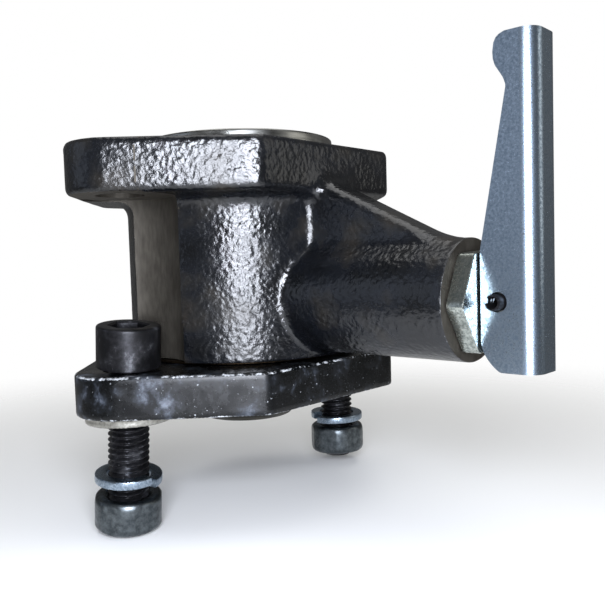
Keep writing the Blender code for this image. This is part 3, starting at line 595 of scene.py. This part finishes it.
OILED_BRONZE = bare_iron("oiled_bronze", "#17130d", "#2a2218", 0.5, (0.1, 0.1, 1.0))
SPRING_STEEL = bare_iron("spring_steel", "#3a3a3c", "#77787a", 0.3, (1.0, 1.0, 1.0))


# ---------------------------------------------------------------- pieces

def near(value, target, slack=0.03 * MM):
    """Whether each value is on a target, within a slack."""
    return np.abs(value - target) < slack


def make_housing():
    """The upper casting with its machined bores, ring seat, screw holes, pockets, faces and boss end."""
    low = HOUSING_LOW - 1.5 * MM
    high = HOUSING_HIGH + 2.0 * MM
    obj = cast("swivel_housing", housing_skin, low, high, 0.7 * MM, housing_relief)
    top, bottom, end = HOUSING_HIGH[2], HOUSING_LOW[2], HOUSING_HIGH[0]
    pocket_top = UPPER_UNDERSIDE + SPOTFACE
    ring_seat = RING_HIGH[0] + GAP
    whole = 90 * MM
    tools = [drill("top_mill", whole, top, top + PAST),
             drill("bottom_mill", whole, bottom - PAST, bottom),
             cross_drill("end_mill", BOSS + PAST, end, end + PAST),
             drill("main_bore", BORE, bottom - PAST, top + PAST),
             drill("ring_seat", ring_seat, RING_LOW[2] - GAP, top + PAST),
             cross_drill("tip_bore", TIP + GAP, HUB_RADIUS, COLLAR_START + 1 * MM),
             cross_drill("collar_bore", COLLAR + GAP, COLLAR_START, end),
             cross_drill("thread_bore", PLUG_SHANK + GAP, end - 18 * MM, end + PAST)]
    for side in (-1, 1):
        for label, radius, start, stop in (("pocket", POCKET, bottom - PAST, pocket_top),
                                           ("wide_pocket", WIDE_POCKET, bottom - PAST, WIDE_POCKET_TOP),
                                           ("screw_hole", SCREW_HOLE, UPPER_UNDERSIDE - PAST, top + PAST)):
            tools.append(drill(f"{label}_{side}", radius, start, stop, y=side * SCREW_Y))
    for tool in tools:
        cut(obj, tool)

    def machined(c):
        from_screw = np.hypot(c[:, 0], np.abs(c[:, 1]) - SCREW_Y)
        from_axis = np.hypot(c[:, 0], c[:, 1])
        from_boss = np.hypot(c[:, 1], c[:, 2] - AXIS_Z)
        in_boss = (c[:, 0] > HUB_RADIUS) & (from_boss < 11 * MM)
        bored = near(from_axis, BORE) | near(from_axis, ring_seat) | in_boss
        for radius in (POCKET, WIDE_POCKET, SCREW_HOLE):
            bored = bored | near(from_screw, radius)
        return bored | (near(c[:, 2], pocket_top) & (from_screw < POCKET)) | near(c[:, 0], end)

    def faced(c):
        seat = near(c[:, 2], RING_LOW[2] - GAP) & (np.hypot(c[:, 0], c[:, 1]) < ring_seat + GAP)
        return near(c[:, 2], top) | near(c[:, 2], bottom) | seat

    finish_piece(obj, "head", "black_paint", [GLOSS, MILLED, FACED], "housing", sharp=50)
    faces_where(obj, faced, 2)
    faces_where(obj, machined, 1)


def make_lower_flange():
    """The lower casting with its screw and spigot holes, countersinks and bright pads."""
    low = FLANGE_LOW - 1.5 * MM
    high = FLANGE_HIGH + 1.5 * MM
    obj = cast("lower_casting", flange_skin, low, high, 0.75 * MM, flange_relief)
    start, stop = FLANGE_LOW[2] - PAST, FLANGE_HIGH[2] + PAST
    tools = [drill("spigot_hole", SPIGOT + GAP, start, stop)]
    tools += [drill(f"bolt_hole_{side}", SCREW_HOLE, start, stop, y=side * SCREW_Y) for side in (-1, 1)]
    head, shank = 5.2 * MM, 2.8 * MM
    profile = [(0, -5 * MM), (head, -5 * MM), (head, 0.4 * MM), (shank, 2.8 * MM), (shank, 13 * MM),
               (0, 13 * MM)]
    for number, (x, y) in enumerate(hub_screw_places()):
        tool = surface(f"countersink_{number}", turned(profile, 48))
        tool.data.transform(Matrix.Translation((x, y, 0)))
        tools.append(tool)
    for tool in tools:
        cut(obj, tool)

    def bright(c):
        from_screw = np.hypot(c[:, 0], np.abs(c[:, 1]) - SCREW_Y)
        from_axis = np.hypot(c[:, 0], c[:, 1])
        pad = (c[:, 2] < -0.25 * MM) & (from_screw < PAD + 1 * MM)
        return pad | near(from_screw, SCREW_HOLE) | near(from_axis, SPIGOT + GAP)

    finish_piece(obj, "base", "black_paint", [SATIN, FACED], "lower_flange", sharp=45)
    faces_where(obj, bright, 1)


def hub_screw_places():
    """The three hub screws' places on their circle."""
    angles = [math.radians(60 + 120 * number) for number in range(3)]
    return [(HUB_SCREW_CIRCLE * math.cos(a), HUB_SCREW_CIRCLE * math.sin(a)) for a in angles]


def make_hub():
    """Turned hub: spigot with its chamfer, journal, plunger groove, a neck for the top ring and lathe centres."""
    low, high = HUB_LOW[2], HUB_HIGH[2]
    seat = FLANGE_HIGH[2] + GAP
    shoulder = RING_LOW[2] - GAP
    neck = RING_BORE - GAP
    groove = TIP_HALF_GROOVE
    profile = [(0, low + CENTRE_DEPTH), (CENTRE_DRILL, low), (SPIGOT - 2 * MM, low), (SPIGOT, low + 2 * MM),
               (SPIGOT, seat), (HUB_RADIUS, seat), (HUB_RADIUS, AXIS_Z - groove),
               (HUB_RADIUS - 4 * MM, AXIS_Z - groove), (HUB_RADIUS - 4 * MM, AXIS_Z + groove),
               (HUB_RADIUS, AXIS_Z + groove), (HUB_RADIUS, shoulder), (neck, shoulder), (neck, high),
               (CENTRE_DRILL, high), (0, high - CENTRE_DEPTH)]
    obj = surface("swivel_hub", turned(softened(profile, 0.3 * MM), 160))
    finish_piece(obj, "base", "machined_steel", [OILED_STEEL], "hub")


def make_top_ring():
    """The bare ring that centres the vise, with broken edges and turning marks."""
    low, high, outer = RING_LOW[2], RING_HIGH[2], RING_HIGH[0]
    middle = 25 * MM
    corners = [(middle, low), (outer, low), (outer, high), (RING_BORE, high), (RING_BORE, low),
               (middle, low)]
    obj = surface("centring_ring", turned(softened(corners, 0.7 * MM)[:-1], 200), ring=True)
    finish_piece(obj, "head", "machined_steel", [TURNED], "top_ring")


def make_plug():
    """Hexagon-headed plug, bored for the rod, with a plain threaded shank inside the boss."""
    start, end = PLUG_LOW[0], PLUG_HIGH[0]
    face = HOUSING_HIGH[0] + GAP
    flat, worn, bore = hexagon(PLUG_FLATS), 0.22 * MM, ROD + GAP
    profile = [(bore, start), (PLUG_SHANK - 1 * MM, start), (PLUG_SHANK, start + 1 * MM),
               (PLUG_SHANK, face),
               (flat - worn, face), (flat, face + worn), (flat, end - worn), (flat - worn, end),
               (bore + 0.5 * MM, end), (bore, end - 0.5 * MM)]
    obj = surface("boss_plug", along_x(turned(profile), PLUG_TURN), ring=True)
    finish_piece(obj, "head", "zinc", [DULL_ZINC], "plug", sharp=25)


def screw_points(columns=120):
    """A socket-head screw about Z with its seat at z = 0.

    Its thread is a radius that falls by the thread's depth with the phase height / pitch - angle / turn.
    """
    angles = np.linspace(0, 2 * np.pi, columns, endpoint=False)
    depth = 0.613 * PITCH
    profile = [(0, -SCREW_LENGTH), (SCREW - 1.4 * MM, -SCREW_LENGTH)]
    for z in np.arange(-SCREW_LENGTH, -0.5 * MM, PITCH / 12):
        phase = z / PITCH - angles / (2 * np.pi)
        wave = np.abs(2 * (phase % 1) - 1)
        thread = SCREW - depth + depth * np.clip(1.35 * wave - 0.2, 0, 1)
        profile.append((np.minimum(thread, SCREW - 1.2 * MM + (z + SCREW_LENGTH) * 1.2), z))
    profile.append((SCREW, -0.3 * MM))
    top, hollow = HEAD_HEIGHT, hexagon(SOCKET * math.sqrt(3), columns, 0.05 * MM)
    profile += softened([(SCREW, 0), (SCREW_HEAD, 0), (SCREW_HEAD, 0.7 * MM)], 0.5 * MM)
    crown = [(SCREW_HEAD, top - 3 * MM), (SCREW_HEAD, top), (SOCKET + 1.4 * MM, top)]
    profile += softened(crown, 1.5 * MM, 7)
    profile += [(hollow + 0.5 * MM, top), (hollow, top - 0.5 * MM), (hollow, top - 6 * MM),
                (0, top - 7.5 * MM)]
    return turned(profile, columns)


def nut_points(columns=120):
    """A hexagon nut about Z on z = 0: the hexagon's radius held under a rounded shoulder at both ends."""
    flat = hexagon(NUT_FLATS, columns, 0.4 * MM)
    depths = np.array([0, 0.12, 0.3, 0.5, 0.8, 1.2, 1.7, 2.3]) * MM
    shoulder = 0.445 * NUT_FLATS + 1.5 * MM * np.sqrt(1 - (1 - depths / depths[-1]) ** 2)
    rise = [(np.minimum(flat, reach), depth) for reach, depth in zip(shoulder, depths)]
    fall = [(radius, NUT_HEIGHT - depth) for radius, depth in reversed(rise)]
    lip = 0.9 * MM
    thread = [(NUT_BORE + 1.0 * MM, NUT_HEIGHT), (NUT_BORE, NUT_HEIGHT - lip), (NUT_BORE, lip),
              (NUT_BORE + 1.0 * MM, 0)]
    return turned(rise + fall + thread, columns)


def washer_points(start, columns=24):
    """A split spring washer: a soft-cornered square section carried round, climbing by its rise."""
    turns = np.linspace(start + WASHER_SPLIT / 2, start + 2 * np.pi - WASHER_SPLIT / 2, 150)
    turns = np.concatenate([turns[:1], turns, turns[-1:]])
    lift = np.linspace(0, 1, len(turns)) * WASHER_RISE
    around = np.linspace(0, 2 * np.pi, columns, endpoint=False)
    c, s = np.cos(around), np.sin(around)
    u = np.sign(c) * np.abs(c) ** 0.3 * (WASHER - WASHER_BORE) / 2
    v = np.sign(s) * np.abs(s) ** 0.3 * WASHER_HEIGHT / 2
    scale = np.ones(len(turns))
    scale[[0, -1]] = 0.0
    radius = (WASHER + WASHER_BORE) / 2 + scale[:, None] * u
    z = lift[:, None] + WASHER_HEIGHT / 2 + scale[:, None] * v
    return np.stack([radius * np.cos(turns)[:, None], radius * np.sin(turns)[:, None], z], -1)


def make_bench_screws():
    """Both screws with their spring washers and nuts, hanging in the lower flange."""
    up = np.array([0, 0, 1.0])
    half = (FLANGE_HIGH[2] - FLANGE_LOW[2]) / 2
    for label, side, lean, split, corner, advance, lift in BENCH_SCREWS:
        seat = half + GAP + SCREW_HEAD * math.sin(math.hypot(*lean))
        end = seat - SCREW_LENGTH + advance * MM
        turn = Matrix.Rotation(math.radians(corner), 3, "Z")
        screw = screw_points() + seat * up
        nut = nut_points() @ np.array(turn).T + end * up
        spring = washer_points(math.radians(split)) + (end + NUT_HEIGHT + GAP + lift * MM) * up
        for points, name, node, slot, metal, ring, sharp in (
                (screw, "cap_screw", "screw", "black_oxide", OXIDE, False, 32),
                (nut, "hexagon_nut", "nut", "zinc", NUT_ZINC, True, 40),
                (spring, "split_washer", "spring_washer", "bright_zinc", BRIGHT_ZINC, False, 40)):
            obj = surface(f"{label}_{name}", leaning(points, side, lean), ring)
            finish_piece(obj, "base", slot, [metal], f"{label}_{node}", sharp=sharp)


def make_hub_screws():
    """Countersunk socket screws under the flange."""
    head, shank, sunk = 4.9 * MM, 2.5 * MM, 0.4 * MM
    hollow = hexagon(1.6 * MM * math.sqrt(3), 48, 0.02 * MM)
    for number, (x, y) in enumerate(hub_screw_places()):
        profile = [(0, sunk + 2.2 * MM), (hollow, sunk + 1.8 * MM), (hollow, sunk), (head, sunk),
                   (head, sunk + 0.2 * MM), (shank, sunk + 2.6 * MM), (shank, 19.4 * MM), (0, 20 * MM)]
        obj = surface(f"countersunk_screw_{number + 1}", turned(profile, 48) + np.array([x, y, 0]))
        finish_piece(obj, "base", "black_oxide", [OXIDE], f"hub_screw_{number + 1}")


def make_plunger():
    """Plunger rod with its tip, spring collar and cross hole for the pin."""
    tip, end = PLUNGER_LOW[0], PLUNGER_HIGH[0]
    start = COLLAR_START + GAP
    stop = start + COLLAR_LENGTH
    profile = [(0, tip), (TIP, tip), (TIP, start), (COLLAR, start), (COLLAR, stop), (ROD, stop), (ROD, end),
               (0, end)]
    obj = surface("index_plunger", along_x(turned(softened(profile, 0.8 * MM), 96)))
    cut(obj, pin_drill("pin_hole", 2.1 * MM, 9 * MM))
    finish_piece(obj, "plunger", "machined_steel", [TURNED], "plunger")


def make_spring():
    """Compression spring: a round wire carried along a helix about the boss axis."""
    wire_radius, coil, turns = 0.7 * MM, 6.6 * MM, 5.0
    start, end = SPRING_LOW[0] + wire_radius, SPRING_HIGH[0] - wire_radius
    t = np.linspace(0, 1, 400)[:, None]
    a = 2 * np.pi * turns * t
    round_wire = np.linspace(0, 2 * np.pi, 14, endpoint=False)[None, :]
    scale = np.ones_like(t)
    scale[[0, -1]] = 0.0
    radius = coil + scale * wire_radius * np.cos(round_wire)
    x = start + (end - start) * t + scale * wire_radius * np.sin(round_wire)
    obj = surface("return_spring", np.stack([x, radius * np.cos(a), AXIS_Z + radius * np.sin(a)], -1))
    finish_piece(obj, "plunger", "spring_steel", [SPRING_STEEL], "plunger_spring")
    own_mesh(obj)


def make_pin():
    """Slotted spring pin: sheet rolled into a C, its ends chamfered."""
    outer, wall, slot, facing = 2.0 * MM, 0.7 * MM, math.radians(50), math.radians(160)
    length = PIN_HIGH[1] - PIN_LOW[1]
    along = np.array([0, 0, 0.4, length / MM - 0.4, length / MM, length / MM]) * MM + PIN_LOW[1]
    angles = facing + np.linspace(slot / 2, 2 * np.pi - slot / 2, 60)
    normal = np.stack([np.cos(angles), np.zeros(60), np.sin(angles)], -1)[None] * np.ones((6, 1, 1))
    middle = normal * (outer - wall / 2) + np.array([PIN_X, 0, AXIS_Z])
    middle[..., 1] = along[:, None]
    thick = np.full((6, 60), wall)
    thick[[0, 1, -2, -1]] = wall * 0.4
    obj = sheet_metal("cross_pin", middle, normal, thick)
    finish_piece(obj, "plunger", "black_oxide", [OXIDE], "lever_pin")


def lever_edge():
    """The side plates' free edge as (height, x) from the pin: cam flank, straight, taper, notch, nose."""
    ratio = STROKE / THROW
    angle = np.linspace(0, 1.1, 30)
    lift = PIN_TO_EDGE + ratio * angle
    x = -lift * np.cos(angle) + ratio * np.sin(angle)
    z = -lift * np.sin(angle) - ratio * np.cos(angle)
    keep = z > LEVER_LOW[2] - AXIS_Z
    x, z = x[keep][::-1], z[keep][::-1]
    top = LEVER_HIGH[2] - AXIS_Z
    # depth below the top and reach towards the plug, both in mm, along the notch and the nose
    notch = np.array([(12.5, 0), (10.7, 0.6), (9.0, 1.7), (7.5, 2.7), (5.9, 3.2), (4.2, 3.3), (2.2, 3.0),
                      (1.1, 2.4), (0.5, 1.6), (0, 0.2)]) * MM
    z = np.concatenate([[LEVER_LOW[2] - AXIS_Z], z, np.array([12.4, 17.6]) * MM, top - notch[:, 0]])
    straight = np.array([-PIN_TO_EDGE, -3.6 * MM])
    x = np.concatenate([[x[0] + 0.8 * MM], x, straight, 2.8 * MM - notch[:, 1]])
    return z, x


def make_lever():
    """Cam lever: sheet folded to a channel. Its middle line runs plate, bend, web, bend, plate."""
    sheet, bend = 2.0 * MM, 3.9 * MM
    back = LEVER_HIGH[0] - PIN_X
    half = LEVER_HIGH[1]
    low, high = LEVER_LOW[2] - AXIS_Z, LEVER_HIGH[2] - AXIS_Z
    height = low + (high - low) * (1 - np.cos(np.linspace(0, np.pi, 150))) / 2
    height = np.concatenate([[low], height[1:-1], [high]])
    edge = np.interp(height, *lever_edge())[:, None]
    inset = back - bend
    arc_radius = bend - sheet / 2
    run = np.concatenate([[0, 0.02, 0.06], np.linspace(0.12, 1, 16)])
    plate = edge + (inset - edge) * run[None]
    arc = np.linspace(-np.pi / 2, 0, 10)[1:-1]
    arc_x = inset + arc_radius * np.cos(arc)
    arc_y = -(half - bend) + arc_radius * np.sin(arc)
    web_y = np.linspace(-(half - bend), half - bend, 12)
    rows = len(height)
    near_x = np.concatenate([plate, np.tile(arc_x, (rows, 1))], 1)
    near_y = np.concatenate([np.full(run.size, -half + sheet / 2), arc_y])
    outward = np.stack([np.cos(arc), np.sin(arc)], -1)
    near_normal = np.concatenate([np.tile([[0.0, -1.0]], (run.size, 1)), outward])
    web_x = np.full((rows, web_y.size), back - sheet / 2)
    x = np.concatenate([near_x, web_x, near_x[:, ::-1]], 1)
    y = np.concatenate([near_y, web_y, -near_y[::-1]])
    web_normal = np.tile([[1.0, 0.0]], (web_y.size, 1))
    normal = np.concatenate([near_normal, web_normal, near_normal[::-1] * np.array([1, -1])])
    steps = y.size
    z = np.tile(height[:, None] + AXIS_Z, (1, steps))
    middle = np.stack([x + PIN_X, np.tile(y, (rows, 1)), z], -1)
    push = np.zeros((rows, steps, 3))
    push[..., :2] = normal[None]
    thick = np.full((rows, steps), sheet)
    thick[:, [0, -1]] = sheet * 0.55
    thick[[0, -1]] *= 0.7
    obj = sheet_metal("cam_lever", middle, push, thick)
    cut(obj, pin_drill("lever_hole", 2.5 * MM, 12 * MM))
    finish_piece(obj, "lever", "bright_zinc", [BRIGHT_ZINC], "lever", sharp=32)


def dress_hidden_parts():
    """The turned parts inside keep the model's shapes and get their metals."""
    for name, metal in (("lower_bush", BRONZE), ("upper_bush", BRONZE), ("thrust_washer", OILED_BRONZE),
                        ("retaining_ring", SPRING_STEEL)):
        data = frame["nodes"][name].data
        data.materials.clear()
        data.materials.append(metal)


# ---------------------------------------------------------------- studio

def make_floor():
    """A pale matt floor that fades into the backdrop's white with distance."""
    ground = min(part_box(name)[0][2] for name in ("left_nut", "right_nut", "left_screw")) - 0.5 * MM
    radii = np.array([0.0, 0.05, 0.2, 0.6, 1.5, 3.0])
    points = turned([(radius, ground) for radius in radii], 64)
    index = np.arange(radii.size * 64).reshape(radii.size, 64)
    quads = np.stack([index[:-1], index[1:], np.roll(index[1:], -1, 1), np.roll(index[:-1], -1, 1)], -1)
    floor = mesh_object("floor", points, quads.reshape(-1, 4).tolist())
    item, tree, shader, place = finish_named("floor_paper")
    fade_start, fade_end = 70 * MM, 340 * MM
    distance = put(tree, "VectorMath", {0: place}, operation="LENGTH")
    fade = put(tree, "MapRange", {0: distance.outputs["Value"], 1: fade_start, 2: fade_end},
               interpolation_type="SMOOTHSTEP")
    clear = put(tree, "BsdfTransparent")
    wire(tree, shader, {"Base Color": "#f4f4f2", "Roughness": 0.9})
    blend = put(tree, "MixShader", {0: fade.outputs[0], 1: shader.outputs[0], 2: clear.outputs[0]})
    tree.links.new(blend.outputs[0], tree.nodes["Material Output"].inputs[0])
    floor.data.materials.append(item)


def stand(right, up, back, place):
    """The world matrix of a light or camera from its three directions and its place."""
    turn = np.eye(4)
    turn[:3] = np.stack([right, up, back, place], 1)
    return Matrix(turn.tolist())


def make_camera():
    """A camera low in front of the left screw, a little rolled."""
    heading, pitch, roll = math.radians(132.02), math.radians(3.459), math.radians(-1.727)
    data = bpy.data.cameras.new("camera")
    data.lens = 43.34
    data.clip_start = 0.01
    camera = bpy.data.objects.new("camera", data)
    level = np.array([math.cos(heading), math.sin(heading), 0])
    ahead = level * math.cos(pitch) - np.array([0, 0, math.sin(pitch)])
    side = np.array([math.sin(heading), -math.cos(heading), 0])
    up = np.cross(side, ahead)
    right = math.cos(roll) * side + math.sin(roll) * up
    up = math.cos(roll) * up - math.sin(roll) * side
    camera.matrix_world = stand(right, up, -ahead, CAMERA_PLACE)
    bpy.context.collection.objects.link(camera)
    bpy.context.scene.camera = camera


def add_softbox(name, place, size, power, colour, target=MIDDLE):
    """A square area light at a place, facing a target."""
    data = bpy.data.lights.new(name, "AREA")
    data.shape = "RECTANGLE"
    data.size, data.size_y = size
    data.energy = power
    data.color = linear(colour)[:3]
    light = bpy.data.objects.new(name, data)
    back = np.array(place) - target
    back = back / np.linalg.norm(back)
    side = np.cross([0, 0, 1.0], back)
    side = side / np.linalg.norm(side)
    light.matrix_world = stand(side, np.cross(back, side), back, place)
    bpy.context.collection.objects.link(light)


def make_light():
    """Two small keys above and below the camera, softboxes left, right and above, and a dim surround.

    The low key comes back off the plug's end and the lever's side, which meet square like a mirror corner.
    The camera sees the surround as white.
    """
    add_softbox("key", CAMERA_PLACE + np.array([0.01, -0.01, 0.05]), (0.10, 0.07), 0.9, "#eef3ff")
    add_softbox("low key", CAMERA_PLACE + np.array([0.0, 0.0, -0.03]), (0.10, 0.035), 0.45, "#eef3ff")
    add_softbox("left", (-0.45, -0.75, 0.30), (0.5, 0.6), 0.55, "#dbe8ff")
    add_softbox("right", (0.75, 0.45, 0.25), (0.4, 0.5), 0.9, "#f4f2ec")
    add_softbox("above", (0.05, 0.05, 0.75), (0.7, 0.7), 3.0, "#ffffff")
    world = bpy.data.worlds.new("surround")
    world.use_nodes = True
    bpy.context.scene.world = world
    tree = world.node_tree
    surround = tree.nodes["Background"]
    surround.inputs["Color"].default_value = linear("#ffffff")
    surround.inputs["Strength"].default_value = 0.14
    backdrop = put(tree, "Background", {"Color": "#ffffff", "Strength": 1.0})
    seen = put(tree, "LightPath")
    blend = put(tree, "MixShader", {0: seen.outputs["Is Camera Ray"], 1: surround.outputs[0],
                                    2: backdrop.outputs[0]})
    tree.links.new(blend.outputs[0], tree.nodes["World Output"].inputs[0])
    bpy.context.scene.view_settings.view_transform = "Standard"


for make in (make_camera, make_light, make_floor, make_housing, make_lower_flange, make_hub,
             make_hub_screws, make_top_ring, make_plug, make_bench_screws, make_plunger, make_spring,
             make_pin, make_lever, dress_hidden_parts):
    make()
